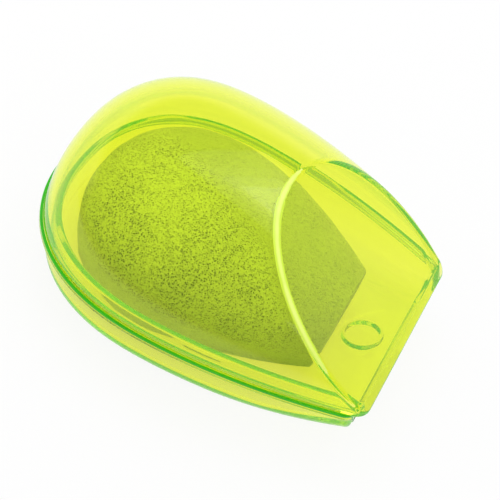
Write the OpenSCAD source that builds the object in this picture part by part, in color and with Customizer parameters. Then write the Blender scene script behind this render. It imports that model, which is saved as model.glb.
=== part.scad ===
// Pocket sponge case: clear domed lid, clear shallow tray, foam sponge glued inside.
// Frame: millimetres, +Z up, the tray rests on z = 0, the nose points along +X.

/* [Case] */
// Overall length, from the back of the tray's flange to the lid's nose
case_l = 85; // [70:1:105]
// Overall width, across the flange
case_w = 70; // [58:1:86]
// Width of the straight nose end
nose_w = 51; // [42:1:58]
// Distance from the back to the widest place
widest_from_back = 36.5; // [30:0.5:44]
// Fullness of the round back, 2 is an ellipse
back_fullness = 2.3; // [2:0.1:3]
// How late the sides taper to the nose, 1 is straight
nose_taper = 1.8; // [1.4:0.1:2.4]
// Radius of the two nose corners
nose_corner_r = 2.6; // [1.5:0.1:4]

/* [Lid] */
// Height of the lid above the tray's flange
lid_h = 27; // [22:0.5:34]
// Wall of the lid's dome
lid_wall = 2; // [1.4:0.1:2.6]
// Thickness of the flat nose plate
nose_plate_t = 2; // [1.4:0.1:2.6]
// Slope of the nose plate, from the table
nose_angle = 33.5; // [28:0.5:40]
// Height of the nose plate's front edge above the flange
nose_edge_h = 1; // [0.6:0.1:2]
// Distance from the back to the top of the dome
crown_from_back = 26.5; // [22:0.5:34]
// Fall of the dome's ridge, 20 mm in front of its top
ridge_fall = 1.3; // [0.6:0.1:2]
// Fullness of the dome's ridge behind its top, 2 is an ellipse
ridge_fullness = 2.3; // [2:0.1:2.8]
// Fullness of the dome's cross-section, 2 is an ellipse
dome_fullness = 2.1; // [2:0.05:2.6]
// How far the flange stands out past the lid
flange_proud = 0.6; // [0.3:0.1:1.2]

/* [Tray] */
// Height of the tray, from the table to the top of its flange
tray_h = 12; // [9:0.5:16]
// Wall of the tray
tray_wall = 2; // [1.4:0.1:2.6]
// Thickness of the tray's floor
floor_t = 2; // [1.4:0.1:2.6]
// Thickness of the flange that the lid stands on
flange_t = 1.2; // [0.8:0.1:2]
// How far the flange stands out past the tray's side
flange_w = 1.2; // [0.6:0.1:2]
// How much the tray's side draws in, for each millimetre of depth
side_draft = 0.2; // [0.1:0.02:0.3]
// How much the tray's inside draws in, for each millimetre of depth
inner_draft = 0.05; // [0:0.01:0.2]
// Radius between the tray's side and its underside
foot_r = 5; // [3:0.5:6]
// How far the underside rises at the nose
nose_rise = 3.5; // [1:0.5:4]
// How far the floor rises to the open nose
floor_nose_rise = 6; // [5:0.5:7]
// How much the nose end draws in, for each millimetre that the side does
nose_draft = 0.05; // [0:0.01:0.2]
// Distance from the back to where the underside and the floor start to rise
rise_from_back = 52; // [48:0.5:58]
// How far the lid's nose stands out past the tray's nose end
nose_overhang = 1.9; // [1:0.1:3]

/* [Locating lip] */
// Height of the lip above the flange
lip_h = 2.5; // [1.5:0.1:4]
// Thickness of the lip
lip_t = 1.4; // [1:0.1:2]
// Gap between the lip and the inside of the lid
lip_clearance = 0.55; // [0.5:0.05:0.9]
// Height of the snap beads on the lip
bead_h = 0.15; // [0:0.01:0.15]
// Length of each snap bead
bead_l = 11; // [6:0.5:16]
// Distances from the back to the middle of each pair of snap beads
bead_places = [12, 50]; // [8:1:60]

/* [Sponge] */
// Gap between the back of the flange and the sponge
sponge_back_gap = 7.8; // [6.5:0.1:12]
// Gap between the side of the flange and the sponge
sponge_side_gap = 9.5; // [7:0.1:14]
// Distance from the lid's nose to the sponge's cut front
sponge_front_gap = 15.5; // [12:0.5:20]
// Width of the sponge's cut front
sponge_front_w = 25; // [18:0.5:32]
// Distance from the case's back to the sponge's widest place
sponge_widest_from_back = 33.5; // [28:0.5:40]
// Height of the sponge at its crown
sponge_h = 22.4; // [16:0.2:25]
// Height of the sponge at its cut front
sponge_front_h = 14.5; // [10:0.1:15]
// Fullness of the sponge's sides, 2 is an ellipse
sponge_fullness = 2.2; // [2:0.1:2.6]
// Height of the sponge's widest level, as a share of its height there
waist_share = 0.47; // [0.4:0.01:0.6]
// How far the sponge's foot draws in from its widest level, as a share of its half width
drawn_in_share = 0.05; // [0.03:0.01:0.3]
// How late the sponge tapers to its front, 1 is straight
sponge_taper = 1.5; // [1.2:0.1:2]

/* [Adhesive pad] */
// Diameter of the pad under the sponge
pad_d = 24; // [12:0.5:26]
// Thickness of the pad
pad_t = 0.4; // [0.2:0.1:1]

/* [Hidden] */

BACK = -case_l / 2;
NOSE = case_l / 2;
WIDEST = BACK + widest_from_back;
CROWN = BACK + crown_from_back;
RISE = BACK + rise_from_back;
TRAY_FRONT = NOSE - nose_overhang;
LIP_INSET = flange_proud + lid_wall + lip_clearance;
LIP_FRONT = TRAY_FRONT - lip_clearance;
RIDGE_SPAN = 20;
LIP_EASE = 0.3;
MIN_CORNER = 0.6;
CUT_DROP = 1;
LIP_ROOT = 0.2;
BIG = 400;
// Stack of the lip's outer face: share of its height, share of the bead
BEAD_PROFILE = [[0, 0], [0.35, 0], [0.6, 1], [0.85, 0]];

BACK_STEPS = 20;
SIDE_STEPS = 12;
CORNER_STEPS = 5;
ARCH_STEPS = 28;
FOOT_STEPS = 5;
FIELD_STEPS = 6;
SPONGE_STEPS = 36;
SPONGE_BACK_STEPS = 16;
SPONGE_FRONT_STEPS = 14;
CLEAR = "#d8f03ab0";

// Half width of an oval of the case's plan, at x, drawn in from the flange by inset
function side(x, inset) =
    x < WIDEST
    ? (case_w / 2 - inset) * pow(max(1 - pow((WIDEST - x) / (WIDEST - BACK - inset), back_fullness), 0),
                                 1 / back_fullness)
    : case_w / 2 - inset - (case_w - nose_w) / 2 * pow((x - WIDEST) / (NOSE - WIDEST), nose_taper);

// Stations [x, half width] from the back's middle to the end of a rounded nose corner
function stations(inset, front, corner) = [
    for (i = [0:BACK_STEPS])
        let (x = WIDEST - (WIDEST - BACK - inset) * pow(cos(90 * i / BACK_STEPS), 2 / back_fullness))
        [x, side(x, inset)],
    for (i = [1:SIDE_STEPS])
        let (x = WIDEST + (front - corner - WIDEST) * i / SIDE_STEPS)
        [x, side(x, inset)],
    for (i = [1:CORNER_STEPS])
        let (x = front - corner + corner * sin(90 * i / CORNER_STEPS))
        [x, side(x, inset) - corner * (1 - cos(90 * i / CORNER_STEPS))]
];

// Closed plan ring made of the stations on both sides
function ring(inset, front, corner) =
    let (s = stations(inset, front, corner), n = len(s))
    concat(s, [for (i = [n - 1:-1:1]) [s[i].x, -s[i].y]]);

// Closed solid over a stack of rings of equal length, closed flat at its end, and at its start run to a point
// if one is given, else closed flat there too
module skin(rings, first) {
    n = len(rings[0]);
    top = (len(rings) - 1) * n;
    polyhedron(concat([for (r = rings) each r], is_undef(first) ? [] : [first]), concat(
        [for (k = [0:len(rings) - 2], i = [0:n - 1])
            let (a = k * n + i, b = k * n + (i + 1) % n)
            each [[a, b, b + n], [a, b + n, a + n]]],
        is_undef(first)
        ? [[for (i = [n - 1:-1:0]) i]]
        : [for (i = [0:n - 1]) [(i + 1) % n, i, top + n]],
        [[for (i = [0:n - 1]) top + i]]
    ), convexity = 8);
}

// Rise of the underside towards the nose
function rise(x) = x < RISE ? 0 : nose_rise * pow((x - RISE) / (NOSE - RISE), 2);

// Rise of the floor towards the open nose
function floor_rise(x) = x < RISE ? 0 : floor_nose_rise * pow((x - RISE) / (TRAY_FRONT - RISE), 3);

// How far a snap bead stands out of the lip at x
function bead_at(x) =
    bead_h * max([for (c = bead_places)
        let (along = x - BACK - c)
        abs(along) < bead_l / 2 ? cos(180 * along / bead_l) : 0]);

// Ring of the tray's body at one inset and height, lifted by a share of the underside's rise
function tray_ring(inset, z, share) =
    let (corner = max(nose_corner_r - inset / 2, MIN_CORNER))
    [for (p = ring(inset, TRAY_FRONT - nose_draft * inset, corner)) [p.x, p.y, z + share * rise(p.x)]];

// Ring of the lip, deeper than its outer face, at a share of its height, with a share of the beads
function lip_ring(depth, share, bead) =
    [for (p = ring(LIP_INSET + depth, LIP_FRONT - depth, MIN_CORNER))
        [p.x, p.y + sign(p.y) * bead * bead_at(p.x), tray_h + share * lip_h]];

// Ring of the tray's inside, run out through the open nose, lifted by a share of the floor's rise
function hollow_ring(inset, z, share) =
    [for (p = ring(inset, TRAY_FRONT + CUT_DROP, MIN_CORNER)) [p.x, p.y, z + share * floor_rise(p.x)]];

// Rings of a field inside an outer ring, drawn towards its middle and lifted: the innermost ends where
// the rise starts
function field(outer, z, lift) =
    let (front = max([for (p = outer) p.x]), level = (RISE - WIDEST) / (front - WIDEST))
    [for (k = [0:FIELD_STEPS - 1])
        let (scale = level + (1 - level) * k / FIELD_STEPS)
        [for (p = outer)
            let (x = WIDEST + (p.x - WIDEST) * scale)
            [x, p.y * scale, z + lift(x)]]];

module base_tray() {
    wall_z = tray_h - flange_t;
    foot_inset = flange_w + side_draft * (wall_z - foot_r);
    foot = [for (i = [0:FOOT_STEPS])
        let (a = 90 * i / FOOT_STEPS)
        tray_ring(foot_inset + foot_r * (1 - sin(a)), foot_r * (1 - cos(a)), 1)];
    body = concat(
        field(foot[0], 0, function (x) rise(x)),
        foot,
        [tray_ring(flange_w, wall_z, 0), tray_ring(0, wall_z, 0), tray_ring(0, tray_h, 0)]
    );
    lip = concat(
        [lip_ring(0, -LIP_ROOT, 0)],
        [for (b = BEAD_PROFILE) lip_ring(0, b[0], b[1])],
        [lip_ring(LIP_EASE, 1, 0)]
    );
    inner_r = foot_r - tray_wall;
    inner_inset = max(foot_inset + tray_wall, LIP_INSET + lip_t + inner_draft * (tray_h - floor_t - inner_r));
    lip_top = tray_h + lip_h;
    lean = (inner_inset - LIP_INSET - lip_t) / (lip_top - floor_t - inner_r);
    bowl = [for (i = [0:FOOT_STEPS])
        let (a = 90 * i / FOOT_STEPS)
        hollow_ring(inner_inset + inner_r * (1 - sin(a)), floor_t + inner_r * (1 - cos(a)), 1)];
    hollow = concat(
        field(bowl[0], floor_t, function (x) floor_rise(x)),
        bowl,
        [hollow_ring(LIP_INSET + lip_t - lean * floor_nose_rise, lip_top + floor_nose_rise, 0)]
    );
    color(CLEAR)
    difference() {
        union() {
            skin(body);
            // The lip runs down under the nose plate
            intersection() {
                skin(lip);
                under_nose(nose_plate_t + lip_clearance);
            }
        }
        skin(hollow);
        // Cut level along the underside, where the tray stands
        translate([-BIG / 2, -BIG / 2, -BIG])
        cube([BIG, BIG, BIG]);
    }
}

// Height of the dome's ridge above the flange, for a skin at the given depth inside it
function ridge(x, depth) =
    let (behind = (CROWN - x) / (CROWN - BACK - flange_proud - depth))
    x < CROWN
    ? (lid_h - depth) * pow(max(1 - pow(behind, ridge_fullness), 0), 1 / ridge_fullness)
    : lid_h - depth - ridge_fall * pow((x - CROWN) / RIDGE_SPAN, 2);

// Rib of the dome: an arch over station s, with its foot run down by drop
function arch(s, depth, drop) = concat(
    drop > 0 ? [[s.x, -s.y, -drop]] : [],
    [for (i = [0:ARCH_STEPS])
        let (c = cos(180 * i / ARCH_STEPS), h = sin(180 * i / ARCH_STEPS))
        [s.x,
         -sign(c) * s.y * pow(abs(c), 2 / dome_fullness),
         ridge(s.x, depth) * pow(abs(h), 2 / dome_fullness)]],
    drop > 0 ? [[s.x, s.y, -drop]] : []
);

// Solid of the dome at the given depth inside its outer skin
module dome(depth, drop) {
    places = stations(flange_proud + depth, NOSE - depth, max(nose_corner_r - depth, MIN_CORNER));
    ribs = [for (i = [1:len(places) - 1]) arch(places[i], depth, drop)];
    translate([0, 0, tray_h])
    skin(ribs, [places[0].x, 0, -drop / 2]);
}

// Everything under the nose plate's skin, at the given depth inside it
module under_nose(depth) {
    translate([NOSE, 0, tray_h + nose_edge_h])
    rotate([0, nose_angle, 0])
    translate([-BIG / 2, -BIG / 2, -BIG - depth])
    cube([BIG, BIG, BIG]);
}

module lid() {
    color(CLEAR)
    difference() {
        intersection() {
            dome(0, 0);
            under_nose(0);
        }
        intersection() {
            dome(lid_wall, CUT_DROP);
            under_nose(nose_plate_t);
        }
    }
}

// Oval section of the sponge: widest at its waist, with a crown above, drawn-in sides below and its underside
// cut off level with the tray's floor
function sponge_section(x, half, h, swell) =
    let (waist = waist_share * h,
         below = waist / pow(1 - pow(1 - drawn_in_share, sponge_fullness), 1 / sponge_fullness))
    [for (i = [0:SPONGE_STEPS - 1])
        let (c = cos(360 * i / SPONGE_STEPS), v = sin(360 * i / SPONGE_STEPS),
             reach = swell * (v > 0 ? h - waist : below))
        [x,
         -half * sign(c) * pow(abs(c), 2 / sponge_fullness),
         max(floor_rise(x), waist + reach * sign(v) * pow(abs(v), 2 / sponge_fullness))]];

module sponge() {
    back = BACK + sponge_back_gap;
    widest = BACK + sponge_widest_from_back;
    front = NOSE - sponge_front_gap;
    half = case_w / 2 - sponge_side_gap;
    swells = [for (i = [1:SPONGE_BACK_STEPS])
        let (a = 90 * i / SPONGE_BACK_STEPS,
             x = widest - (widest - back) * pow(cos(a), 2 / sponge_fullness),
             swell = pow(sin(a), 2 / sponge_fullness))
        sponge_section(x, half * swell, sponge_h, swell)];
    tapers = [for (i = [1:SPONGE_FRONT_STEPS])
        let (t = i / SPONGE_FRONT_STEPS)
        sponge_section(widest + (front - widest) * t,
                       half - (half - sponge_front_w / 2) * pow(t, sponge_taper),
                       sponge_h - (sponge_h - sponge_front_h) * t * t,
                       1)];
    color("#aec832")
    translate([0, 0, floor_t + pad_t])
    skin(concat(swells, tapers), [back, 0, waist_share * sponge_h]);
}

module adhesive_pad() {
    color("#e8e4c8")
    translate([BACK + sponge_widest_from_back, 0, floor_t])
    cylinder(d = pad_d, h = pad_t, $fn = 64);
}

base_tray();
lid();
sponge();
adhesive_pad();
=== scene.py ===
"""Looks of a pocket sponge case: a clear lid and tray, a foam sponge, its adhesive pad and a white stage."""

import math

import bmesh
import bpy
import numpy as np
from bpy.props import FloatProperty, FloatVectorProperty, PointerProperty
from mathutils import Matrix, Vector, noise
from mathutils.geometry import delaunay_2d_cdt


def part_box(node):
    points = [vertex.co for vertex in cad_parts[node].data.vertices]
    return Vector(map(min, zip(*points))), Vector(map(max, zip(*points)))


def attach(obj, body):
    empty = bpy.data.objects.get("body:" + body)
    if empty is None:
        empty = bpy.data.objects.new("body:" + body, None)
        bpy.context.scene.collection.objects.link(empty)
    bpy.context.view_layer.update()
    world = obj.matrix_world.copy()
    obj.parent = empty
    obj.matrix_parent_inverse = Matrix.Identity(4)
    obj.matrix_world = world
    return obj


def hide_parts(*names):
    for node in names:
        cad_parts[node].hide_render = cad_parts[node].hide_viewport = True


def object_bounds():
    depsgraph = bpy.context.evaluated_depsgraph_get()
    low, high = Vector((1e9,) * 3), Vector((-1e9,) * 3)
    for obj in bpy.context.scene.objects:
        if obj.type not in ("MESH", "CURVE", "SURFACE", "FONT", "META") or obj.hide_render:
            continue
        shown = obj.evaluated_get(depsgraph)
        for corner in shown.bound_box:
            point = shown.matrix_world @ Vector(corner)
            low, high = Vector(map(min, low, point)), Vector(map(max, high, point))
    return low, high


bl_info = {
    "name": "Pocket sponge case",
    "version": (1, 0, 0),
    "blender": (4, 5, 0),
    "location": "View3D > Sidebar > Sponge case",
    "description": "Builds the looks of a clear pocket sponge case around its packed frame",
    "category": "Object",
}

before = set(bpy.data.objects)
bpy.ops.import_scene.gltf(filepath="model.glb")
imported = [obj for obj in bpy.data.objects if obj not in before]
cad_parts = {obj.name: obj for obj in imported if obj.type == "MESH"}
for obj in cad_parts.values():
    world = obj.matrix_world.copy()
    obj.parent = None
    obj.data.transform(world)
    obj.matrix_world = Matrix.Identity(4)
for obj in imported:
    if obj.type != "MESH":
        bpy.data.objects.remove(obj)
CAD_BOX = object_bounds()

# Plan and heights of the case, in metres: the box comes from the frame, the rest repeats the solids
BACK, NOSE = CAD_BOX[0].x, CAD_BOX[1].x
HALF_WIDTH = CAD_BOX[1].y
RIM_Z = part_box("lid")[0].z
DOME_H = CAD_BOX[1].z - RIM_Z
TRAY_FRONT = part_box("base_tray")[1].x
LIP_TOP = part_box("base_tray")[1].z - RIM_Z
SPONGE_LOW, SPONGE_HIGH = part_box("sponge")
PAD_LOW, PAD_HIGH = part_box("adhesive_pad")
WIDEST = BACK + 0.0365
CROWN = BACK + 0.0265
RISE = BACK + 0.052
HALF_NOSE = 0.0255
BACK_FULLNESS = 2.3
NOSE_TAPER = 1.8
CORNER_R = 0.0026
MIN_CORNER = 0.0006
FLANGE_PROUD = 0.0006
RIDGE_FALL, RIDGE_SPAN = 0.0013, 0.02
RIDGE_FULLNESS = 2.3
DOME_FULLNESS = 2.1
NOSE_SLOPE = math.radians(33.5)
NOSE_EDGE_H = 0.001
NOSE_RISE = 0.0035
FLOOR_T = 0.002
FLOOR_RISE = 0.006
NOSE_TOP = FLOOR_T + FLOOR_RISE
SIDE_DRAFT, HOLLOW_DRAFT, NOSE_DRAFT = 0.2, 0.05, 0.05
NOSE_LAND = 0.0004
LIP_INSET, LIP_T = 0.00315, 0.0014
LIP_UNDER_NOSE = 0.00255
LIP_NOSE_H = 0.00003
BEAD_L, BEAD_H = 0.011, 0.00015
BEADS = (BACK + 0.012, BACK + 0.05)
# Share of a nose corner's turn where the tray's wall starts to drop to the open nose
OPEN_FROM = 0.45
# Where the hollow and the lip cross the land at the open nose
HOLLOW_LAND, LIP_LAND, LIP_LAND_DEPTH = 0.1, 0.6, 0.006
# Where the painted glow band on the U-shaped edge ends at the nose, and how much sooner at its borders
PAINTED_GLOW_END, PAINTED_GLOW_TAPER = NOSE - 0.011, 0.005
# Where the painted glow band ends on the far side, and how much sooner at its borders
PAINTED_GLOW_SIDE, PAINTED_GLOW_POINT = 0.0055, 0.0135
# Air left between faces that touch, so that light meets them one after the other
AIR = 0.00004

# Edges that turn by more than this stay sharp
SHARP_ANGLE = math.radians(40)
# Steps along half of an outline: back and flank, nose corner, straight nose
FLANK_STEPS, CORNER_STEPS, FRONT_STEPS = 120, 10, 30
# Points on fine lines before they are cut, and halvings that find where two lines cross
FINE_BACK, FINE_FLANK, FINE_EDGE, FINE_LINE = 400, 300, 800, 240
HALVINGS = 60


def rounded(share, fullness):
    """Height of a rounded profile at a share of its half width."""
    return (1 - share**fullness) ** (1 / fullness)


def eased(share):
    """A share that starts and ends softly."""
    return share * share * (3 - 2 * share)


def side(x, inset):
    """Half width of the case's plan at x, drawn in by inset."""
    behind = np.clip((WIDEST - x) / (WIDEST - BACK - inset), 0, 1)
    back = (HALF_WIDTH - inset) * rounded(behind, BACK_FULLNESS)
    taper = (np.clip(x - WIDEST, 0, None) / (NOSE - WIDEST)) ** NOSE_TAPER
    return np.where(x < WIDEST, back, HALF_WIDTH - inset - (HALF_WIDTH - HALF_NOSE) * taper)


def rise(x):
    """Rise of the underside towards the nose."""
    return NOSE_RISE * (np.clip(x - RISE, 0, None) / (NOSE - RISE)) ** 2


def floor_rise(x):
    """Rise of the floor inside, up to the open nose."""
    return FLOOR_RISE * (np.clip(x - RISE, 0, None) / (TRAY_FRONT - NOSE_LAND - RISE)) ** 3


def lengths(points):
    """Distance run along a line of points, at each of them."""
    steps = np.linalg.norm(np.diff(points, axis=0), axis=1)
    return np.concatenate([[0], np.cumsum(steps)])


def along(points, places):
    """Points at the given distances along a line."""
    run = lengths(points)
    return np.column_stack([np.interp(places, run, points[:, k]) for k in range(points.shape[1])])


def evenly(points, steps):
    """The line cut into equal steps."""
    return along(points, np.linspace(0, lengths(points)[-1], steps + 1))


def corner_places(front, corner):
    """Places along x round a nose corner, and how far the corner has turned in at each."""
    turn = np.linspace(0, math.pi / 2, CORNER_STEPS + 1)[1:]
    return front - corner + corner * np.sin(turn), corner * (1 - np.cos(turn))


def half_outline(inset, front, corner):
    """Half of a plan outline, from mid back to mid nose."""
    turn = np.linspace(0, math.pi / 2, FINE_BACK)
    x = np.concatenate([
        WIDEST - (WIDEST - BACK - inset) * np.cos(turn) ** (2 / BACK_FULLNESS),
        np.linspace(WIDEST, front - corner, FINE_FLANK)[1:],
    ])
    flank = evenly(np.column_stack([x, side(x, inset)]), FLANK_STEPS)
    cx, drawn = corner_places(front, corner)
    turned = np.column_stack([cx, side(cx, inset) - drawn])
    y = np.linspace(turned[-1, 1], 0, FRONT_STEPS + 1)[1:]
    return np.concatenate([flank, turned, np.column_stack([np.full_like(y, front), y])])


def closed(half):
    """A loop made of half an outline and its mirror image."""
    return np.concatenate([half, half[-2:0:-1] * (1, -1, 1)])


def skin(loops):
    """Vertices and quads of a skin over loops of equal length."""
    n = len(loops[0])
    rows = np.arange(len(loops) - 1)[:, None] * n
    here = np.arange(n)[None]
    there = (here + 1) % n
    quads = np.stack([rows + here, rows + there, rows + n + there, rows + n + here], -1)
    return np.concatenate(loops), quads.reshape(-1, 4).tolist()


def fillet(start, corner, end, steps=4):
    """Loops that round the corner between two loops."""
    shares = np.linspace(0, 1, steps + 2)[1:-1]
    return [start * (1 - t) ** 2 + corner * 2 * t * (1 - t) + end * t * t for t in shares]


def between(start, end, shares):
    """Loops between two loops, at shares of the way."""
    return [start * (1 - t) + end * t for t in shares]


def capped(loops, first, last):
    """A skin over loops, closed with a fan to a point at either end."""
    vertices, faces = skin(loops)
    n = len(loops[0])
    for start, point in ((0, first), ((len(loops) - 1) * n, last)):
        faces += [(start + i, start + (i + 1) % n, len(vertices)) for i in range(n)]
        vertices = np.concatenate([vertices, [point]])
    return vertices, faces


def patch(vertices, faces, first, count, inner, height):
    """Closes a loop of the skin with triangles over inner points, at the height of each."""
    plan = np.concatenate([vertices[first:first + count, :2], inner])
    rim = [(i, (i + 1) % count) for i in range(count)]
    inside_only, tolerance = 1, 1e-7
    points, _, triangles, origins, _, _ = delaunay_2d_cdt(
        [Vector(p) for p in plan.tolist()], rim, [], inside_only, tolerance, True)
    names, added = {}, []
    for i, (point, origin) in enumerate(zip(points, origins)):
        if origin and origin[0] < count:
            names[i] = first + origin[0]
        else:
            names[i] = len(vertices) + len(added)
            added.append((point.x, point.y))
    added = np.array(added)
    faces += [tuple(names[i] for i in f) for f in triangles]
    return np.concatenate([vertices, np.column_stack([added, height(added[:, 0], added[:, 1])])])


def placed(name, data):
    """A new object in the scene."""
    thing = bpy.data.objects.new(name, data)
    bpy.context.scene.collection.objects.link(thing)
    return thing


def make_piece(name, vertices, faces, materials, body, node):
    """A smooth closed mesh that stands for a node of the frame and rides on its body."""
    mesh = bpy.data.meshes.new(name)
    mesh.from_pydata(vertices.tolist(), [], faces)
    work = bmesh.new()
    work.from_mesh(mesh)
    bmesh.ops.recalc_face_normals(work, faces=work.faces)
    open_edges = sum(1 for e in work.edges if len(e.link_faces) != 2)
    work.to_mesh(mesh)
    work.free()
    if open_edges:
        raise RuntimeError(f"{name} has {open_edges} open edges")
    mesh.shade_smooth()
    mesh.set_sharp_from_angle(angle=SHARP_ANGLE)
    for material in materials:
        mesh.materials.append(material)
    piece = placed(name, mesh)
    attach(piece, body)
    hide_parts(node)
    return piece


class Tree:
    """Short hand for a material's or world's nodes."""

    def __init__(self, owner):
        owner.use_nodes = True
        self.nodes, self.links = owner.node_tree.nodes, owner.node_tree.links
        self.nodes.clear()

    def add(self, kind, _set=None, **sockets):
        """Outputs of a new node with its settings and sockets. A socket is named, or numbered as in_0."""
        node = self.nodes.new("ShaderNode" + kind)
        for key, value in (_set or {}).items():
            setattr(node, key, value)
        for key, value in sockets.items():
            socket = node.inputs[int(key[3:]) if key.startswith("in_") else key.replace("_", " ")]
            if isinstance(value, bpy.types.NodeSocket):
                self.links.new(value, socket)
            else:
                socket.default_value = value
        return node.outputs

    def ramp(self, factor, low, high, dark=0.0, light=1.0):
        """A value run from dark to light while factor runs from low to high."""
        return self.add("MapRange", {"interpolation_type": "SMOOTHSTEP"}, Value=factor,
                        From_Min=low, From_Max=high, To_Min=dark, To_Max=light)[0]

    def mixed(self, factor, low, high):
        """A colour between two, by factor."""
        low, high = (c if isinstance(c, bpy.types.NodeSocket) else (*c, 1) for c in (low, high))
        return self.add("Mix", {"data_type": "RGBA"}, in_0=factor, in_6=low, in_7=high)[2]

    def clouds(self, place, scale, detail, roughness=0.5):
        """Cloudy noise."""
        return self.add("TexNoise", Vector=place, Scale=scale, Detail=detail, Roughness=roughness)[0]

    def math(self, operation, a, b):
        """One sum."""
        return self.add("Math", {"operation": operation}, in_0=a, in_1=b)[0]


# Common to all colours
COLOUR = {"subtype": "COLOR", "size": 3, "min": 0, "max": 1}


class PlasticSettings(bpy.types.PropertyGroup):
    """The clear tinted plastic."""

    tint: FloatVectorProperty(
        name="Tint", description="What light keeps on its way through the plastic",
        default=(0.965, 0.98, 0.0), **COLOUR)
    density: FloatProperty(
        name="Density", description="How fast the tint builds up, for each metre", default=680, min=0)
    shade: FloatVectorProperty(
        name="Shade", description="What lamp light keeps when it crosses a face",
        default=(0.95, 0.97, 0.72), **COLOUR)
    ior: FloatProperty(name="Refraction", description="Index of refraction", default=1.5, min=1, max=2)
    roughness: FloatProperty(
        name="Roughness", description="Roughness of the polished faces", subtype="FACTOR",
        default=0.02, min=0, max=1)
    waves: FloatProperty(
        name="Waves", description="Depth of the slight waves left by moulding", unit="LENGTH",
        default=0.00002, precision=6)


class LidSettings(bpy.types.PropertyGroup):
    """The domed lid."""

    wall: FloatProperty(
        name="Wall", description="Thickness of the wall", unit="LENGTH", default=0.002, precision=4)
    edge_round: FloatProperty(
        name="Edge", description="Rounding of the U-shaped edge, outside", unit="LENGTH",
        default=0.001, precision=5)
    inner_round: FloatProperty(
        name="Inner edge", description="Rounding of the U-shaped edge, inside", unit="LENGTH",
        default=0.0003, precision=5)
    rim_round: FloatProperty(
        name="Rim", description="Rounding of the rim", unit="LENGTH", default=0.00025, precision=5)
    # Painted light: colour of the glow painted into the lid's plastic
    painted_volume_glow: FloatVectorProperty(
        name="Painted_glow", description="Colour that the dye gives back inside the lid",
        default=(0.09, 0.50, 0.003), **COLOUR)
    # Painted light: colours of the opaque band that stands in for the refraction and highlight of the
    # U-shaped edge
    glow: FloatVectorProperty(
        name="Glow", description="Colour of the light that leaves the U-shaped edge",
        default=(0.68, 0.78, 0.17), **COLOUR)
    painted_glow_border: FloatVectorProperty(
        name="Glow border", description="Colour of that light along its two borders",
        default=(0.50, 0.68, 0.04), **COLOUR)


class TraySettings(bpy.types.PropertyGroup):
    """The shallow tray."""

    wall: FloatProperty(
        name="Wall", description="Thickness of the wall", unit="LENGTH", default=0.002, precision=4)
    flange: FloatProperty(
        name="Flange", description="Thickness of the flange, and how far it stands out", unit="LENGTH",
        default=0.0012, precision=4)
    edge_round: FloatProperty(
        name="Edges", description="Rounding of the flange and the lip", unit="LENGTH",
        default=0.00016, precision=5)
    lip_round: FloatProperty(
        name="Lip", description="Rounding of the lip's inner edge", unit="LENGTH",
        default=0.0007, precision=5)
    # Painted light: the flange's upper edge is painted an opaque deep green that glows a little, standing in
    # for light run along the dyed wall
    deep: FloatVectorProperty(
        name="Painted edge", description="Colour of the flange's upper edge",
        default=(0.03, 0.36, 0.01), **COLOUR)
    # Painted light: colour of the glow painted into the tray's plastic
    painted_volume_glow: FloatVectorProperty(
        name="Painted_glow", description="Colour that the dye gives back inside the tray",
        default=(0.11, 0.50, 0.01), **COLOUR)
    painted_edge_h: FloatProperty(
        name="Painted edge height", description="How far the deep colour comes down the flange's edge",
        unit="LENGTH", default=0.0004, precision=5)
    foot: FloatProperty(
        name="Foot", description="Radius between the side and the underside", unit="LENGTH", default=0.005)
    mark: FloatProperty(
        name="Mark", description="Radius of the moulded ring on the floor", unit="LENGTH", default=0.004)
    mark_h: FloatProperty(
        name="Mark height", description="How far the moulded ring stands up", unit="LENGTH",
        default=0.0009, precision=5)


class SpongeSettings(bpy.types.PropertyGroup):
    """The foam sponge."""

    colour: FloatVectorProperty(
        name="Foam", description="Colour of the foam", default=(0.76, 0.92, 0.48), **COLOUR)
    # Painted shade: the dark colour put down in the pores
    pores: FloatVectorProperty(
        name="Pores", description="Colour down in the pores", default=(0.07, 0.13, 0.02), **COLOUR)
    cell: FloatProperty(
        name="Cell", description="Width of a foam cell", unit="LENGTH", default=0.0007, precision=5)
    depth: FloatProperty(
        name="Pore depth", description="Depth of the deepest pores", unit="LENGTH",
        default=0.00025, precision=5)


class PadSettings(bpy.types.PropertyGroup):
    """The adhesive pad under the sponge."""

    colour: FloatVectorProperty(
        name="Adhesive", description="Colour of the adhesive", default=(0.78, 0.74, 0.56), **COLOUR)
    ragged: FloatProperty(
        name="Ragged edge", description="How far it wanders", unit="LENGTH", default=0.0005, precision=5)


class StageSettings(bpy.types.PropertyGroup):
    """Floor, light and camera."""

    backdrop: FloatVectorProperty(
        name="Backdrop", description="Colour of the floor and the surroundings", default=(1, 1, 1), **COLOUR)
    softbox: FloatProperty(name="Softbox", description="Power of the main softbox", unit="POWER", default=3.0)
    fill: FloatProperty(name="Fill", description="Light from all round", default=0.7)
    cards: FloatVectorProperty(
        name="Cards", description="Colour of the cards that hang round the case",
        default=(0.40, 0.58, 0.38), **COLOUR)
    lens: FloatProperty(
        name="Lens", description="Focal length of the camera", subtype="DISTANCE_CAMERA", default=126.6)


class SpongeCaseSettings(bpy.types.PropertyGroup):
    """All the values of the sponge case."""

    plastic: PointerProperty(type=PlasticSettings)
    lid: PointerProperty(type=LidSettings)
    tray: PointerProperty(type=TraySettings)
    sponge: PointerProperty(type=SpongeSettings)
    pad: PointerProperty(type=PadSettings)
    stage: PointerProperty(type=StageSettings)


def new_material(name):
    """A material, its nodes, and places on its piece."""
    material = bpy.data.materials.new(name)
    tree = Tree(material)
    return material, tree, tree.add("TexCoord")["Object"]


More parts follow.
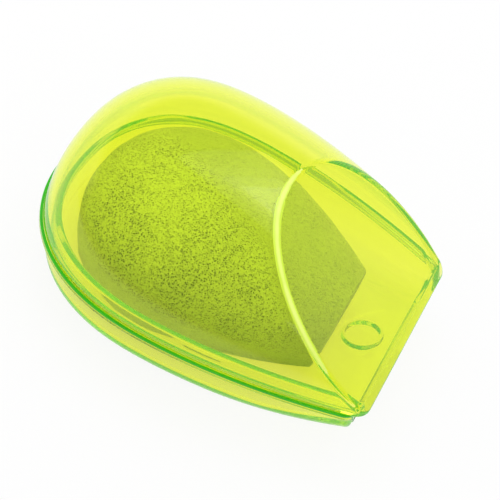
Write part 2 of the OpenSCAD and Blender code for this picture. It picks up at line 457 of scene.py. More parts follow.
def clear_plastic(name, shift, painted_volume_glow):
    """Polished clear plastic, tinted by its depth, with slight moulding waves, fine hairlines and a painted
    glow inside it that gives back colour where its tint takes light away.
    """
    values = bpy.context.scene.sponge_case.plastic
    material, tree, place = new_material(name)
    place = tree.add("Mapping", Vector=place, Location=(shift, shift * 0.7, -shift))[0]
    waves = tree.clouds(place, scale=70, detail=2, roughness=0.4)
    cloud = tree.clouds(place, scale=260, detail=4, roughness=0.6)
    hair = tree.add("TexWave", {"wave_type": "BANDS", "bands_direction": "DIAGONAL"}, Vector=place,
                    Scale=120, Distortion=16, Detail=3, Detail_Scale=1.6)[1]
    smoothest, roughest, scratched = values.roughness * 0.5, values.roughness * 1.6, 0.05
    hairline = tree.ramp(hair, 0.985, 1.0, 0.0, scratched)
    rough = tree.math("ADD", tree.ramp(cloud, 0.35, 0.75, smoothest, roughest), hairline)
    bump = tree.add("Bump", Strength=1.0, Distance=values.waves, Height=waves)[0]
    glass = tree.add("BsdfPrincipled", Base_Color=(1, 1, 1, 1), Transmission_Weight=1.0, IOR=values.ior,
                     Roughness=rough, Normal=bump)
    clear = tree.add("BsdfTransparent", Color=(*values.shade, 1))
    lamps = tree.add("LightPath")["Is Shadow Ray"]
    both = tree.add("MixShader", in_0=lamps, in_1=glass[0], in_2=clear[0])
    tinted = tree.add("VolumeAbsorption", Color=(*values.tint, 1), Density=values.density)
    # Painted light: the plastic glows inside, though it is no lamp, in the given colour where its tint takes
    # light away, so that long paths turn green and not dark
    given_back = [d * (1 - t) for d, t in zip(painted_volume_glow, values.tint)]
    glowing = tree.add("Emission", Color=(*given_back, 1), Strength=values.density)
    inside = tree.add("AddShader", in_0=tinted[0], in_1=glowing[0])
    tree.add("OutputMaterial", Surface=both[0], Volume=inside[0])
    return material


def painted_edge_material(name, colour, border):
    """Painted edge light: an opaque colour that glows a little though it is no lamp, put where light would
    come out of the dyed plastic, with another colour along its borders.
    """
    material, tree, place = new_material(name)
    cloud = tree.clouds(place, scale=160, detail=3)
    fine = tree.clouds(place, scale=1400, detail=2)
    across = tree.add("Attribute", {"attribute_name": "across"})["Fac"]
    share = tree.math("ADD", across, tree.ramp(cloud, 0.3, 0.7, 0.2, 0.0))
    shade = tree.mixed(tree.ramp(share, 0.0, 0.6), colour, border)
    bump = tree.add("Bump", Strength=0.3, Distance=0.00003, Height=fine)[0]
    # The colour is painted light, and the face glows a little though it is no lamp
    glow = tree.add("BsdfPrincipled", Base_Color=shade, Roughness=tree.ramp(fine, 0.3, 0.7, 0.1, 0.2),
                    Normal=bump, Emission_Color=shade, Emission_Strength=0.3)
    tree.add("OutputMaterial", Surface=glow[0])
    return material


# Where the foam is smoother: its front slope, which is also painted darker as shade, and its foot, both
# slanting
FRONT_SLANT, FRONT_RANGE, FRONT_SMOOTH_AND_SHADE = 0.6, (-0.008, 0.001), 0.62
FOOT_SLANT, FOOT_RANGE = 0.105, (0.008, 0.011)
# Small pores, by width in cells and the painted shade in them; painted shade in the mesh's pores; the foam's
# random dimmer tone, and the painted shade on its front slope
SMALL_PORE_SHADE = ((0.85, 1.0), (0.58, 0.85))
MESH_PORE_SHADE = (0.15, 0.5)
DIM, FRONT_PAINTED_SHADE = 0.84, 0.66


def foam_material():
    """Fine-celled foam: pores from the mesh and smaller ones between them, darkened with painted shade, a
    soft uneven colour, and painted shade on its front slope.
    """
    values = bpy.context.scene.sponge_case.sponge
    material, tree, place = new_material("fine_foam")
    pore = tree.add("Attribute", {"attribute_name": "pore"})["Fac"]
    grain = tree.clouds(place, scale=2.4 / values.cell, detail=2, roughness=0.6)
    drift = tree.clouds(place, scale=110, detail=3)
    at = tree.add("SeparateXYZ", Vector=place)
    front = tree.math("ADD", tree.math("MULTIPLY", at[0], FRONT_SLANT), at[1])
    above_foot = tree.math("ADD", tree.math("MULTIPLY", at[0], FOOT_SLANT), at[2])
    smooth = tree.ramp(front, *FRONT_RANGE, 0.0, FRONT_SMOOTH_AND_SHADE)
    porous = tree.math("MULTIPLY", tree.math("SUBTRACT", 1.0, smooth), tree.ramp(above_foot, *FOOT_RANGE))
    dots = []
    for width, strength in SMALL_PORE_SHADE:
        cells = tree.add("TexVoronoi", Vector=place, Scale=1 / (values.cell * width), Randomness=0.9)
        dot = tree.ramp(cells["Distance"], 0.16, 0.34, 1.0, 0.0)
        dots.append(tree.math("MULTIPLY", dot, tree.ramp(drift, 0.35, 0.6, strength, strength * 0.65)))
    small = tree.math("MULTIPLY", tree.math("MAXIMUM", *dots), porous)
    large = tree.math("MULTIPLY", pore, tree.ramp(porous, 0.0, 1.0, *MESH_PORE_SHADE))
    # Painted shade in the pores, from the mesh's pores and the small ones
    dark = tree.math("MAXIMUM", small, large)
    lively = tree.math("ADD", tree.math("MULTIPLY", grain, 0.6), tree.math("MULTIPLY", drift, 0.4))
    pale = tree.mixed(tree.ramp(lively, 0.35, 0.65), [c * DIM for c in values.colour], values.colour)
    # Painted shade: the front slope is made darker
    pale = tree.mixed(smooth, pale, [c * FRONT_PAINTED_SHADE for c in values.colour])
    colour = tree.mixed(dark, pale, values.pores)
    height = tree.math("SUBTRACT", tree.math("MULTIPLY", grain, 0.7), small)
    bump = tree.add("Bump", Strength=1.0, Distance=values.depth, Height=height)[0]
    foam = tree.add("BsdfPrincipled", Base_Color=colour, Roughness=0.95, Normal=bump,
                    Specular_IOR_Level=0.15, Sheen_Weight=0.8)
    tree.add("OutputMaterial", Surface=foam[0])
    return material


def adhesive_material():
    """Pale tacky adhesive with trapped bubbles."""
    values = bpy.context.scene.sponge_case.pad
    material, tree, place = new_material("tacky_adhesive")
    bubbles = tree.add("TexVoronoi", Vector=place, Scale=700)["Distance"]
    cloud = tree.clouds(place, scale=240, detail=4)
    bubble = tree.ramp(bubbles, 0.1, 0.35, 1.0, 0.0)
    pale = tree.mixed(tree.ramp(cloud, 0.3, 0.7), [c * 0.85 for c in values.colour], values.colour)
    colour = tree.mixed(tree.math("MULTIPLY", bubble, 0.5), pale, [min(c * 1.2, 0.9) for c in values.colour])
    bump = tree.add("Bump", Strength=0.4, Distance=0.0001, Height=cloud)[0]
    glue = tree.add("BsdfPrincipled", Base_Color=colour, Roughness=tree.ramp(cloud, 0.3, 0.7, 0.35, 0.6),
                    Normal=bump)
    tree.add("OutputMaterial", Surface=glue[0])
    return material


def ridge(x, depth):
    """Height of the dome's ridge above the rim, for a skin at a depth inside it."""
    behind = np.clip((CROWN - x) / (CROWN - BACK - FLANGE_PROUD - depth), 0, 1)
    ahead = RIDGE_FALL * (np.clip(x - CROWN, 0, None) / RIDGE_SPAN) ** 2
    back = (DOME_H - depth) * rounded(behind, RIDGE_FULLNESS)
    return np.where(x < CROWN, back, DOME_H - depth - ahead)


def nose_plane(x, depth):
    """Height of the nose plate's skin above the rim, at a depth inside it."""
    return NOSE_EDGE_H + math.tan(NOSE_SLOPE) * (NOSE - x) - depth / math.cos(NOSE_SLOPE)


class Dome:
    """One skin of the lid: its U-shaped edge, its rim and the band between them."""

    def __init__(self, depth, front, corner, rows):
        self.depth, self.front, self.corner, self.rows = depth, front, corner, rows
        self.inset = FLANGE_PROUD + depth
        plan = half_outline(self.inset, front, corner)
        self.rim = np.column_stack([plan, np.zeros(len(plan))])
        self.edge = self.make_edge()
        self.lines = [self.line(i) for i in range(len(plan))]
        self.reach = np.array([lengths(p)[-1] for p in self.lines])

    def half(self, x):
        """Half width of the skin at its foot."""
        turn = np.clip((x - self.front + self.corner) / self.corner, 0, 1)
        return side(x, self.inset) - self.corner * (1 - np.sqrt(1 - turn**2))

    def edge_y(self, x):
        """Half width of the U-shaped edge at x."""
        share = np.clip(nose_plane(x, self.depth) / ridge(x, self.depth), 0, 1)
        return self.half(x) * rounded(share, DOME_FULLNESS)

    def make_edge(self):
        """Half of the U-shaped edge, from its middle to the nose corner and along the nose."""
        low, high = CROWN, self.front - self.corner
        for _ in range(HALVINGS):
            middle = (low + high) / 2
            if nose_plane(middle, self.depth) > ridge(np.array(middle), self.depth):
                low = middle
            else:
                high = middle
        x = high + (self.front - self.corner - high) * np.linspace(0, 1, FINE_EDGE) ** 2
        y = self.edge_y(x)
        y[0] = 0
        flank = evenly(np.column_stack([x, y, nose_plane(x, self.depth)]), FLANK_STEPS)
        cx, _ = corner_places(self.front, self.corner)
        turned = np.column_stack([cx, self.edge_y(cx), nose_plane(cx, self.depth)])
        y = np.linspace(turned[-1, 1], 0, FRONT_STEPS + 1)[1:]
        nose = np.column_stack([np.full_like(y, self.front), y, np.full_like(y, turned[-1, 2])])
        return np.concatenate([flank, turned, nose])

    def line(self, i):
        """Line down the skin from one point of the edge to its point of the rim."""
        t = 1 - (1 - np.linspace(0, 1, FINE_LINE)) ** 4
        points = self.edge[i] + (self.rim[i] - self.edge[i]) * t[:, None]
        if i <= FLANK_STEPS + CORNER_STEPS:
            share = np.clip(np.abs(points[:, 1]) / np.maximum(self.half(points[:, 0]), 1e-9), 0, 1)
            points[:, 2] = ridge(points[:, 0], self.depth) * rounded(share, DOME_FULLNESS)
            points[0] = self.edge[i]
            points[-1] = self.rim[i]
        return points

    def band(self, top, foot):
        """Loops down the skin, between top below the edge and foot above the rim."""
        rows = []
        for share in np.linspace(0, 1, self.rows + 1):
            places = top + (self.reach - foot - top) * share
            rows.append(closed(np.array([along(p, [d])[0] for p, d in zip(self.lines, places)])))
        return rows

    def plate(self, drawn):
        """Loop on the nose plate, inside the U-shaped edge by drawn at each point."""
        loop = closed(self.edge)
        drawn = np.concatenate([drawn, drawn[-2:0:-1]])
        step = np.roll(loop, -1, 0) - np.roll(loop, 1, 0)
        normal = np.array([math.sin(NOSE_SLOPE), 0, math.cos(NOSE_SLOPE)])
        inward = np.cross(normal, step)
        inward /= np.linalg.norm(inward, axis=1)[:, None]
        towards = loop.mean(0) - loop
        inward *= np.sign(np.sum(inward * towards, 1))[:, None]
        return loop + inward * drawn[:, None]


def moved(half_loop, towards, distance):
    """A half loop moved towards another by a distance at each point."""
    way = towards - half_loop
    return half_loop + way / np.linalg.norm(way, axis=1)[:, None] * distance[:, None]


# Rows down the lid's two skins, rings on its nose plate, and its thickness at the front, in walls
OUTER_ROWS, INNER_ROWS = 64, 60
PLATE_RINGS = (0.06, 0.3, 0.6, 0.85, 0.96)
FRONT_WALLS = 1.15
# The most of a line down the dome that its two roundings take
EDGE_SHARE, RIM_SHARE = 0.35, 0.25


class BuildLid(bpy.types.Operator):
    """Build the clear domed lid with its flat nose plate"""

    bl_idname = "sponge_case.lid"
    bl_label = "Lid"

    def execute(self, context):
        values = context.scene.sponge_case.lid
        outer = Dome(0.0, NOSE, CORNER_R, OUTER_ROWS)
        inner = Dome(values.wall, NOSE - values.wall * FRONT_WALLS, MIN_CORNER, INNER_ROWS)
        edge = np.minimum(values.edge_round, outer.reach * EDGE_SHARE)
        foot = np.minimum(values.rim_round, outer.reach * RIM_SHARE)
        inner_edge = np.minimum(values.inner_round, inner.reach * EDGE_SHARE)
        inner_foot = np.minimum(values.rim_round, inner.reach * RIM_SHARE)
        plate, inner_plate = outer.plate(edge), inner.plate(inner_edge)
        band, inner_band = outer.band(edge, foot), inner.band(inner_edge, inner_foot)[::-1]
        rest = closed(moved(outer.rim, inner.rim, foot))
        inner_rest = closed(moved(inner.rim, outer.rim, inner_foot))
        loops = between(plate.mean(0)[None], plate, PLATE_RINGS) + [plate]
        first = len(loops) - 1
        loops += fillet(plate, closed(outer.edge), band[0], steps=9) + band
        last = len(loops) - len(band)
        loops += fillet(band[-1], closed(outer.rim), rest)
        loops += [rest] + between(rest, inner_rest, (0.33, 0.67)) + [inner_rest]
        loops += fillet(inner_rest, closed(inner.rim), inner_band[0]) + inner_band
        loops += fillet(inner_band[-1], closed(inner.edge), inner_plate, steps=7)
        loops += [inner_plate] + between(inner_plate.mean(0)[None], inner_plate, PLATE_RINGS[::-1])
        vertices, faces = capped(loops, plate.mean(0), inner_plate.mean(0))
        vertices[:, 2] += RIM_Z + AIR
        plastics = [clear_plastic("lid_clear_plastic", 0.3, values.painted_volume_glow),
                    painted_edge_material("lid_painted_edge_glow", values.glow, values.painted_glow_border)]
        piece = make_piece("clear_lid", vertices, faces, plastics, "lid", "lid")
        # Rows of the U-shaped edge, from 0 in their middle to 1 at their borders
        count, middle = len(plate), (first + last - 1) / 2
        across = piece.data.attributes.new("across", "FLOAT", "FACE").data
        for row in range(first, last):
            border = (2 * abs(row - middle) / (last - first)) ** 2
            for face in piece.data.polygons[row * count:(row + 1) * count]:
                x, y, _ = face.center
                across[face.index].value = border
                # These faces get the painted glow band, which tapers towards the nose and towards the far
                # side
                if x < PAINTED_GLOW_END - PAINTED_GLOW_TAPER * border and y < PAINTED_GLOW_SIDE - PAINTED_GLOW_POINT * border:
                    face.material_index = 1
        return {"FINISHED"}


def lip_height(x):
    """Height of the locating lip at x, running down under the nose plate."""
    return np.clip(nose_plane(x, LIP_UNDER_NOSE), LIP_NOSE_H, LIP_TOP)


def bead(x):
    """How far a snap bead stands out of the lip at x."""
    waves = [np.where(np.abs(x - c) < BEAD_L / 2, np.cos(math.pi * (x - c) / BEAD_L), 0) for c in BEADS]
    return BEAD_H * np.max(waves, axis=0)


def opened(plan, z):
    """A loop lowered across the nose, where the tray is open."""
    turn = np.clip((np.arange(len(plan)) - FLANK_STEPS) / CORNER_STEPS, 0, 1)
    share = eased(np.clip((turn - OPEN_FROM) / (1 - OPEN_FROM), 0, 1))
    return closed(np.column_stack([plan, z + share * (np.minimum(z, NOSE_TOP) - z)]))


def tray_loop(inset, z, lifted):
    """Loop of the tray's body, lifted by a share of the underside's rise."""
    plan = half_outline(inset, TRAY_FRONT - NOSE_DRAFT * inset, max(CORNER_R - inset / 2, MIN_CORNER))
    return opened(plan, z + lifted * rise(plan[:, 0]))


def hollow_loop(inner_inset, radius, floor, turn):
    """Loop of the tray's inside, at a turn from its floor to its wall."""
    inset = inner_inset + radius * (1 - math.sin(turn))
    plan = half_outline(inset, TRAY_FRONT - NOSE_LAND * (1 - HOLLOW_LAND * math.sin(turn)), MIN_CORNER)
    return opened(plan, floor + floor_rise(plan[:, 0]) + radius * (1 - math.cos(turn)))


def lip_loop(depth, base, share, beaded):
    """Loop of the lip, deeper than its outer face, at a base above the flange or a share of its height."""
    front = TRAY_FRONT - NOSE_LAND * (LIP_LAND + depth / LIP_LAND_DEPTH)
    plan = half_outline(LIP_INSET + depth, front, MIN_CORNER)
    plan[:, 1] += np.where(plan[:, 1] > 0, beaded * bead(plan[:, 0]), 0)
    return opened(plan, RIM_Z + base + share * lip_height(plan[:, 0]))


def ring_points(centre, radii, count):
    """Plan points on rings round a centre."""
    turn = np.linspace(0, 2 * math.pi, count, endpoint=False)
    return np.concatenate([
        np.column_stack([centre[0] + r * np.cos(turn), centre[1] + r * np.sin(turn)]) for r in radii])


# Steps round the tray's foot; start of the lip's outer face, and its rows by height and bead
ROUND_STEPS = 12
LIP_START = (0.00015, 0.05)
LIP_ROWS = ((0.25, 0), (0.35, 0), (0.45, 0.5), (0.55, 0.92), (0.6, 1), (0.65, 0.92), (0.75, 0.5), (0.84, 0))
# Grid of points on the tray's floor and underside
PITCH, MARGIN, REACH = 0.0022, 0.0012, 0.033
# The moulded ring, its distance to the grid, and circles of points on it and inside it
MARK_CENTRE = Vector((NOSE - 0.0098, 0.0017))
MARK_HALF, MARK_CLEAR = 0.0007, 0.0016
MARK_SPREAD, MARK_POINTS = np.linspace(-0.0009, 0.0009, 15), 96
MARK_INSIDE = ((0.0017, 40), (0.003, 12))


class BuildTray(bpy.types.Operator):
    """Build the clear shallow tray with its flange, locating lip and plain moulded ring"""

    bl_idname = "sponge_case.tray"
    bl_label = "Tray"

    def execute(self, context):
        values = context.scene.sponge_case.tray
        flange, soft, foot = values.flange, values.edge_round, values.foot
        under = RIM_Z - flange
        foot_inset = flange + SIDE_DRAFT * (under - foot)
        inner_r = foot - values.wall
        inner_inset = LIP_INSET + LIP_T + HOLLOW_DRAFT * (RIM_Z - values.wall - inner_r)
        floor = values.wall - AIR
        turns = np.linspace(0, math.pi / 2, ROUND_STEPS + 1)
        outside = [tray_loop(foot_inset + foot * (1 - math.sin(a)), foot * (1 - math.cos(a)), 1)
                   for a in turns]
        throat = 2 * soft
        wall_top = tray_loop(flange + SIDE_DRAFT * throat, under - throat, 0)
        outside += between(outside[-1], wall_top, (0.25, 0.5, 0.75)) + [wall_top]
        flange_start = tray_loop(flange - (1 - SIDE_DRAFT) * throat, under, 0)
        outside += fillet(wall_top, tray_loop(flange, under, 0), flange_start) + [flange_start]
        corners = [(soft, under), (0, under), (0, under + soft), (0, RIM_Z - soft), (0, RIM_Z), (soft, RIM_Z)]
        edge = [tray_loop(inset, z, 0) for inset, z in corners]
        outside += [edge[0]] + fillet(*edge[:3]) + [edge[2]]
        # Rows of the flange's upper edge that get the painted edge light
        painted_edge_row = len(outside)
        outside += [tray_loop(0, RIM_Z - values.painted_edge_h, 0), edge[3]]
        outside += fillet(*edge[3:]) + [edge[5], tray_loop(FLANGE_PROUD, RIM_Z, 0)]
        painted_edge_rows = range(painted_edge_row, len(outside) - 1)
        lip_foot, lip_start = lip_loop(-soft, 0, 0, 0), lip_loop(0, *LIP_START, 0)
        lip = between(outside[-1], lip_foot, (0.5,)) + [lip_foot]
        lip += fillet(lip_foot, lip_loop(0, 0, 0, 0), lip_start, steps=3) + [lip_start]
        lip += [lip_loop(0, 0, share, beaded) for share, beaded in LIP_ROWS]
        top, top_in = lip_loop(soft, 0, 1, 0), lip_loop(LIP_T - values.lip_round, 0, 1, 0)
        lip_in = lip_loop(LIP_T, 0, 1 - values.lip_round / LIP_TOP, 0)
        lip += fillet(lip[-1], lip_loop(0, 0, 1, 0), top) + [top, top_in]
        lip += fillet(top_in, lip_loop(LIP_T, 0, 1, 0), lip_in, steps=8) + [lip_in]
        hollow = [hollow_loop(inner_inset, inner_r, floor, a) for a in turns[::-1]]
        loops = outside + lip + between(lip_in, hollow[0], (0.3, 0.65)) + hollow
        vertices, faces = skin(loops)
        count = len(loops[0])
        grid_x, grid_y = np.arange(BACK, NOSE, PITCH), np.arange(-REACH, REACH + PITCH / 2, PITCH)
        grid = np.stack(np.meshgrid(grid_x, grid_y), -1).reshape(-1, 2)

        def room(loop, clear_of):
            """Grid points well inside a loop and clear of the ring."""
            inset = HALF_WIDTH - np.abs(loop[:, 1]).max() + MARGIN
            front = loop[:, 0].max() - MARGIN
            keep = (np.abs(grid[:, 1]) < side(grid[:, 0], inset)) & (grid[:, 0] < front)
            keep &= grid[:, 0] > loop[:, 0].min() + MARGIN
            keep &= np.hypot(grid[:, 0] - MARK_CENTRE.x, grid[:, 1] - MARK_CENTRE.y) > clear_of
            return grid[keep]

        def ring_height(x, y):
            """Floor with the plain moulded ring on it."""
            off = np.abs(np.hypot(x - MARK_CENTRE.x, y - MARK_CENTRE.y) - values.mark)
            return floor + floor_rise(x) + values.mark_h * eased(1 - np.clip(off / MARK_HALF, 0, 1))

        marks = [ring_points(MARK_CENTRE, values.mark + MARK_SPREAD, MARK_POINTS)]
        marks += [ring_points(MARK_CENTRE, (values.mark - off,), points) for off, points in MARK_INSIDE]
        vertices = patch(vertices, faces, 0, count, room(loops[0], 0), lambda x, y: rise(x))
        inner = np.concatenate([room(loops[-1], values.mark + MARK_CLEAR), *marks])
        vertices = patch(vertices, faces, (len(loops) - 1) * count, count, inner, ring_height)
        plastics = [clear_plastic("tray_clear_plastic", 1.7, values.painted_volume_glow),
                    painted_edge_material("tray_painted_edge_glow", values.deep, [c * 0.7 for c in values.deep])]
        piece = make_piece("clear_tray", vertices, faces, plastics, "tray", "base_tray")
        # The painted deep green edge light goes on the flange's upper edge
        for row in painted_edge_rows:
            for face in piece.data.polygons[row * count:(row + 1) * count]:
                face.material_index = 1
        return {"FINISHED"}


# The sponge's form, as its solid has it
SPONGE_WIDEST = BACK + 0.0335
SPONGE_FRONT_HALF = 0.0125
SPONGE_FRONT_H = 0.0145
SPONGE_FULLNESS = 2.2
SPONGE_TAPER = 1.5
WAIST_SHARE = 0.47
DRAWN_IN = 0.05
SPONGE_SPLIT = 0.52
FRONT_BEVEL = 0.0003
# Points on fine lines, points round and along the sponge, and rings on its cut front
FINE_TURNS, FINE_PLACES = 4001, 3001
SPONGE_TURNS, SPONGE_PLACES, SPARSE = 310, 266, 0.12
FRONT_RINGS = (0.97, *np.linspace(0.94, 0.03, 40))
# Heights of the flat underside and of the foot that keeps its pores shut
FLAT_H, REST_H = 1e-5, 0.0004
# Pores: least size, spread and seed of sizes, in cells; and slight hollows of the skin
PORE_SIZE, PORE_SPREAD, PORE_SEED = 0.22, 0.42, 7.3
UNEVEN_SCALE, UNEVEN_DEPTH = 0.12, 0.00015


def sponge_sections(places, turns):
    """Points of the sponge on sections across it: places run from 0 at the back to 1 at the cut front."""
    back, front = SPONGE_LOW.x, SPONGE_HIGH.x
    half, crown = SPONGE_HIGH.y, SPONGE_HIGH.z - SPONGE_LOW.z
    a = np.clip(places / SPONGE_SPLIT, 0, 1) * math.pi / 2
    t = np.clip((places - SPONGE_SPLIT) / (1 - SPONGE_SPLIT), 0, 1)
    swell = np.sin(a) ** (2 / SPONGE_FULLNESS)
    x = SPONGE_WIDEST - (SPONGE_WIDEST - back) * np.cos(a) ** (2 / SPONGE_FULLNESS)
    x = np.where(places > SPONGE_SPLIT, SPONGE_WIDEST + (front - SPONGE_WIDEST) * t, x)
    width = half * swell - (half - SPONGE_FRONT_HALF) * t**SPONGE_TAPER
    height = crown - (crown - SPONGE_FRONT_H) * t * t
    waist = WAIST_SHARE * height
    c, v = np.cos(turns)[None], np.sin(turns)[None]
    y = -width[:, None] * np.sign(c) * np.abs(c) ** (2 / SPONGE_FULLNESS)
    below = waist / rounded(1 - DRAWN_IN, SPONGE_FULLNESS)
    reach = np.where(v > 0, (height - waist)[:, None], below[:, None])
    z = waist[:, None] + swell[:, None] * reach * np.sign(v) * np.abs(v) ** (2 / SPONGE_FULLNESS)
    z = np.maximum(z, floor_rise(x)[:, None])
    return np.stack([np.broadcast_to(x[:, None], y.shape), y, z + SPONGE_LOW.z], -1)


def even_turns():
    """Turns that space a section's points evenly, and sparsely along the flat underside."""
    turns = np.linspace(0, 2 * math.pi, FINE_TURNS)
    line = sponge_sections(np.array([SPONGE_SPLIT]), turns)[0]
    steps = np.diff(lengths(line))
    flat = line[:, 2] < SPONGE_LOW.z + FLAT_H
    run = np.concatenate([[0], np.cumsum(np.where(flat[1:] & flat[:-1], steps * SPARSE, steps))])
    return np.interp(np.linspace(0, run[-1], SPONGE_TURNS, endpoint=False), run, turns)


class BuildSponge(bpy.types.Operator):
    """Build the domed foam sponge with its open pores"""

    bl_idname = "sponge_case.sponge"
    bl_label = "Sponge"

    def execute(self, context):
        values = context.scene.sponge_case.sponge
        turns = even_turns()
        dense = np.linspace(0, 1, FINE_PLACES)
        crest = sponge_sections(dense, np.array([math.pi / 2]))[:, 0]
        run = lengths(crest)
        places = np.interp(np.linspace(0, run[-1], SPONGE_PLACES)[1:], run, dense)
        loops = list(sponge_sections(places, turns))
        front = loops[-1]
        middle = np.array([front[0, 0], 0, (front[:, 2].min() + front[:, 2].max()) / 2])
        loops[-1] = front - (FRONT_BEVEL, 0, 0)
        loops += [middle + (front - middle) * share for share in FRONT_RINGS]
        vertices, faces = capped(loops, (SPONGE_LOW.x, 0, loops[0][:, 2].mean()), middle)
        piece = make_piece("foam_sponge", vertices, faces, [foam_material()], "tray", "sponge")
        self.open_pores(piece.data, values)
        return {"FINISHED"}

    def open_pores(self, mesh, values):
        """Sinks the pores into the mesh and keeps their depth for the material."""
        n = len(mesh.vertices)
        points, normals = np.empty(n * 3), np.empty(n * 3)
        mesh.vertices.foreach_get("co", points)
        mesh.vertex_normals.foreach_get("vector", normals)
        points, normals = points.reshape(-1, 3), normals.reshape(-1, 3)
        pore, uneven = np.empty(n), np.empty(n)
        for i, p in enumerate(points):
            here = Vector(p) / values.cell
            near, cells = noise.voronoi(here)
            size = PORE_SIZE + PORE_SPREAD * abs(noise.cell(cells[0] * PORE_SEED))
            pore[i] = max(0.0, 1 - near[0] / size)
            uneven[i] = noise.noise(here * UNEVEN_SCALE)
        pore = eased(pore)
        resting = points[:, 2] < SPONGE_LOW.z + REST_H
        sunk = np.where(resting, 0, values.depth * pore + UNEVEN_DEPTH * np.maximum(uneven, 0))
        points -= normals * sunk[:, None]
        mesh.vertices.foreach_set("co", points.ravel())
        mesh.attributes.new("pore", "FLOAT", "POINT").data.foreach_set("value", pore)
        mesh.update()


# Points round the pad, its section, and the waves of its edge: how close, where in the noise, how deep
PAD_POINTS = 160
PAD_FACE = (0.1, 0.3, 0.5, 0.7, 0.85, 0.95, 0.985)
PAD_EDGE = ((0.995, 0.12), (1.0, 0.35), (1.0, 0.65), (0.995, 0.88))
PAD_WAVES = ((3.5, 0.4, 1.0), (11, 2.0, 0.4))


class BuildPad(bpy.types.Operator):
    """Build the adhesive pad between the sponge and the tray's floor"""

    bl_idname = "sponge_case.pad"
    bl_label = "Adhesive pad"

    def execute(self, context):
        values = context.scene.sponge_case.pad
        middle = (PAD_LOW + PAD_HIGH) / 2
        radius = (PAD_HIGH.x - PAD_LOW.x) / 2
        thick = PAD_HIGH.z - PAD_LOW.z
        turn = np.linspace(0, 2 * math.pi, PAD_POINTS, endpoint=False)
        spokes = np.column_stack([np.cos(turn), np.sin(turn)])
        wander = sum(deep * np.array([noise.noise(Vector((*(close * s), where))) for s in spokes])
                     for close, where, deep in PAD_WAVES)
        edge = radius - values.ragged * (0.5 + 0.5 * np.clip(wander, -1, 1))
        low, high = [(share, 0.0) for share in PAD_FACE], [(share, 1.0) for share in PAD_FACE[::-1]]
        loops = []
        for share, up in (*low, *PAD_EDGE, *high):
            x, y = middle.x + spokes[:, 0] * edge * share, middle.y + spokes[:, 1] * edge * share
            loops.append(np.column_stack([x, y, np.full(PAD_POINTS, PAD_LOW.z + thick * up)]))
        vertices, faces = capped(loops, (middle.x, middle.y, PAD_LOW.z), (middle.x, middle.y, PAD_HIGH.z))
        glue = [adhesive_material()]
        make_piece("adhesive_disc", vertices, faces, glue, "tray", "adhesive_pad")
        return {"FINISHED"}


# What the lamps aim at, and the lamps: name, share of the set power, size, place. The softbox is a stack of
# squares, so that its reflection fades towards its border
LAMP_AIM = Vector((0, 0, 0.02))
LAMPS = (
    ("bounced_light", 1.2, (0.6, 0.6), (-0.45, 0.36, 0.7)),
    ("bounced_light", 0.35, (0.6, 0.6), (-0.7, -0.25, 0.2)),
    *(("softbox", 0.135, (width, width), (0.17, 0.39, 0.72)) for width in (0.24, 0.32, 0.4, 0.48, 0.56)),
    ("side_softbox", 0.15, (0.5, 0.4), (0.6, -0.5, 0.5)),
)
# The floor: gap below the case, its levels in front, where painted shade darkens it for all rays but the
# camera's, as a matt face, seen directly and through glass
FLOOR_GAP, FLOOR_FRONT, FLOOR_FRONT_SHADE = 0.0003, (-0.4, -0.06), (0.45, 1.0)
FLOOR_LOSS, FLOOR_SHOWN = 0.2, (0.9, 0.7)
# Directions between which the cards give way to white: upwards, and towards the back
CARDS_UP, CARDS_BACK = (0.22, 0.42), (-0.35, 0.05)


def area_lamp(name, power, size, place):
    """A soft rectangular lamp that faces the case."""
    lamp = bpy.data.lights.new(name, "AREA")
    lamp.shape, lamp.size, lamp.size_y, lamp.energy = "RECTANGLE", *size, power
    holder = placed(name, lamp)
    holder.location = place
    holder.rotation_euler = (LAMP_AIM - Vector(place)).to_track_quat("-Z", "Y").to_euler()
    return holder


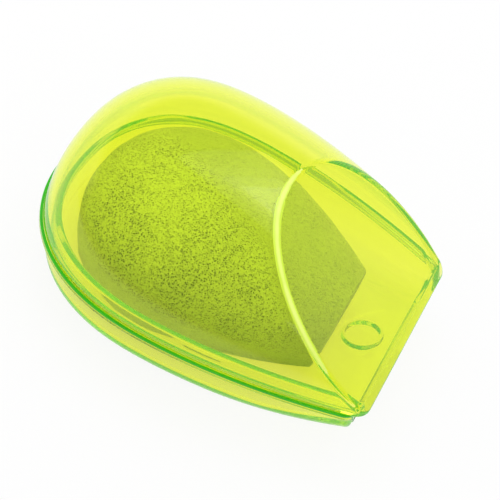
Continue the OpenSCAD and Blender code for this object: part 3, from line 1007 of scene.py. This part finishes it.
class BuildStage(bpy.types.Operator):
    """Build the floor, the surroundings, the softboxes and the camera"""

    bl_idname = "sponge_case.stage"
    bl_label = "Stage"

    def execute(self, context):
        values = context.scene.sponge_case.stage
        self.floor(values)
        self.surroundings(values)
        for name, share, size, place in LAMPS:
            lamp = area_lamp(name, values.softbox * share, size, place)
            if name == "bounced_light":
                lamp.visible_glossy = lamp.visible_transmission = False
        self.camera(values)
        scene = context.scene
        scene.view_settings.view_transform = "Standard"
        scene.cycles.max_bounces = 64
        scene.cycles.transmission_bounces = 60
        scene.cycles.glossy_bounces = 60
        scene.cycles.transparent_max_bounces = 24
        return {"FINISHED"}

    def seen(self, tree):
        """1 for rays that see the backdrop directly, in gloss or through glass, and not off a matt face."""
        path = tree.add("LightPath")
        both = tree.math("MAXIMUM", path["Is Camera Ray"], path["Is Glossy Ray"])
        shown = tree.math("MAXIMUM", both, path["Is Transmission Ray"])
        return tree.math("MULTIPLY", shown, tree.math("LESS_THAN", path["Diffuse Depth"], 0.5))

    def floor(self, values):
        """White floor under the case, with painted shade in front of it that all rays but the camera's see.
        """
        mesh = bpy.data.meshes.new("floor")
        work = bmesh.new()
        bmesh.ops.create_circle(work, cap_ends=True, segments=96, radius=3.0)
        work.to_mesh(mesh)
        work.free()
        floor = placed("floor", mesh)
        floor.location.z = -FLOOR_GAP
        material, tree, place = new_material("pale_floor")
        path = tree.add("LightPath")
        across = tree.add("SeparateXYZ", Vector=place)[1]
        # Painted shade: the floor turns darker in front of the case, except to the camera
        near = tree.ramp(across, *FLOOR_FRONT, *FLOOR_FRONT_SHADE)
        level = tree.math("MAXIMUM", near, path["Is Camera Ray"])
        colour = tree.mixed(level, (0, 0, 0), values.backdrop)
        matt = tree.add("BsdfDiffuse", Color=tree.mixed(FLOOR_LOSS, colour, (0, 0, 0)))[0]
        glow = tree.add("Emission", Color=colour, Strength=1.0)[0]
        white = tree.ramp(path["Is Transmission Ray"], 0.0, 1.0, *FLOOR_SHOWN)
        share = tree.math("MULTIPLY", self.seen(tree), white)
        shown = tree.add("MixShader", in_0=share, in_1=matt, in_2=glow)[0]
        tree.add("OutputMaterial", Surface=shown)
        mesh.materials.append(material)

    def surroundings(self, values):
        """Light from all round, and the cards that gloss and glass show."""
        world = bpy.data.worlds.new("white_surroundings")
        bpy.context.scene.world = world
        tree = Tree(world)
        light = tree.add("Background", Color=(*values.backdrop, 1), Strength=values.fill)[0]
        way = tree.add("SeparateXYZ", Vector=tree.add("TexCoord")["Generated"])
        low, behind = tree.ramp(way[2], *CARDS_UP, 1.0, 0.0), tree.ramp(way[1], *CARDS_BACK)
        cards = tree.mixed(tree.math("MULTIPLY", low, behind), values.cards, values.backdrop)
        white = tree.add("Background", Color=cards, Strength=1.0)[0]
        both = tree.add("MixShader", in_0=self.seen(tree), in_1=light, in_2=white)[0]
        tree.add("OutputWorld", Surface=both)

    def camera(self, values):
        """Camera in front and above, rolled so that the nose points down to the right."""
        distance, aim = 0.382, (-0.00344, 0.000559)
        elevation, azimuth, roll = (math.radians(angle) for angle in (46, 7.283, 23.702))
        back = Vector((math.sin(azimuth) * math.cos(elevation), -math.cos(azimuth) * math.cos(elevation),
                       math.sin(elevation)))
        right = Vector((math.cos(azimuth), math.sin(azimuth), 0))
        up = back.cross(right)
        across = math.cos(roll) * right + math.sin(roll) * up
        upward = math.cos(roll) * up - math.sin(roll) * right
        place = Vector((0, 0, RIM_Z)) + distance * back - aim[0] * across - aim[1] * upward
        data = bpy.data.cameras.new("camera")
        data.lens, data.sensor_width = values.lens, 36
        data.clip_start, data.clip_end = 0.01, 20
        camera = placed("camera", data)
        camera.matrix_world = Matrix.Translation(place) @ Matrix((across, upward, back)).transposed().to_4x4()
        bpy.context.scene.camera = camera


class SpongeCasePanel(bpy.types.Panel):
    """Sizes, colours and building steps of the sponge case"""

    bl_idname = "VIEW3D_PT_sponge_case"
    bl_label = "Sponge case"
    bl_space_type = "VIEW_3D"
    bl_region_type = "UI"
    bl_category = "Sponge case"

    def draw(self, context):
        values = context.scene.sponge_case
        for name in SpongeCaseSettings.__annotations__:
            box = self.layout.box()
            group = getattr(values, name)
            for key in group.__annotations__:
                box.prop(group, key)
            for operator in OPERATORS:
                if operator.bl_idname == f"sponge_case.{name}":
                    box.operator(operator.bl_idname)


GROUPS = (PlasticSettings, LidSettings, TraySettings, SpongeSettings, PadSettings, StageSettings,
          SpongeCaseSettings)
OPERATORS = (BuildStage, BuildTray, BuildPad, BuildSponge, BuildLid)


def register():
    for cls in GROUPS + OPERATORS + (SpongeCasePanel,):
        bpy.utils.register_class(cls)
    bpy.types.Scene.sponge_case = PointerProperty(type=SpongeCaseSettings)


def unregister():
    del bpy.types.Scene.sponge_case
    for cls in reversed(GROUPS + OPERATORS + (SpongeCasePanel,)):
        bpy.utils.unregister_class(cls)


def main():
    register()
    for operator in ("stage", "tray", "pad", "sponge", "lid"):
        getattr(bpy.ops.sponge_case, operator)()


if __name__ == "__main__":
    main()
